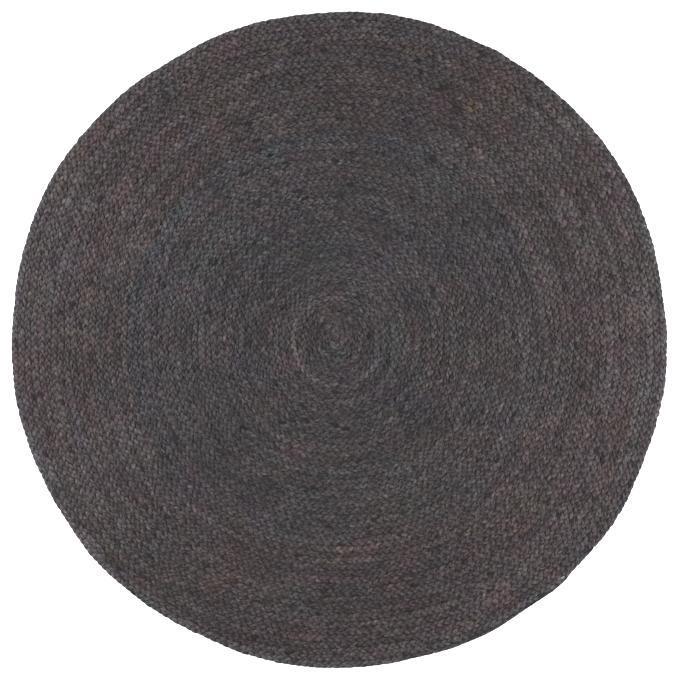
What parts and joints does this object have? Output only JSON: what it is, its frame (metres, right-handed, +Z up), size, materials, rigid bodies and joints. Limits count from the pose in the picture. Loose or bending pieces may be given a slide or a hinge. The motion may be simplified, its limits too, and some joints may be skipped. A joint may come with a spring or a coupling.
{
  "type": "round braided jute rug",
  "caption": "Round flat rug of one jute braid, coiled from the heart to the rim and sewn edge to edge, with a ribbed top and a slightly uneven rim.",
  "frame": {"origin": "under the middle of the rug, on the ground it lies on", "axes": "+Z up through the rug, +X to the right and +Y away from the viewer in the picture's view from above"},
  "size_m": [1.4994, 1.5, 0.009],
  "materials": {
    "jute": "matt dyed jute braid"
  },
  "bodies": {
    "root": {"braided_rug": "jute"}
  },
  "joints": []
}
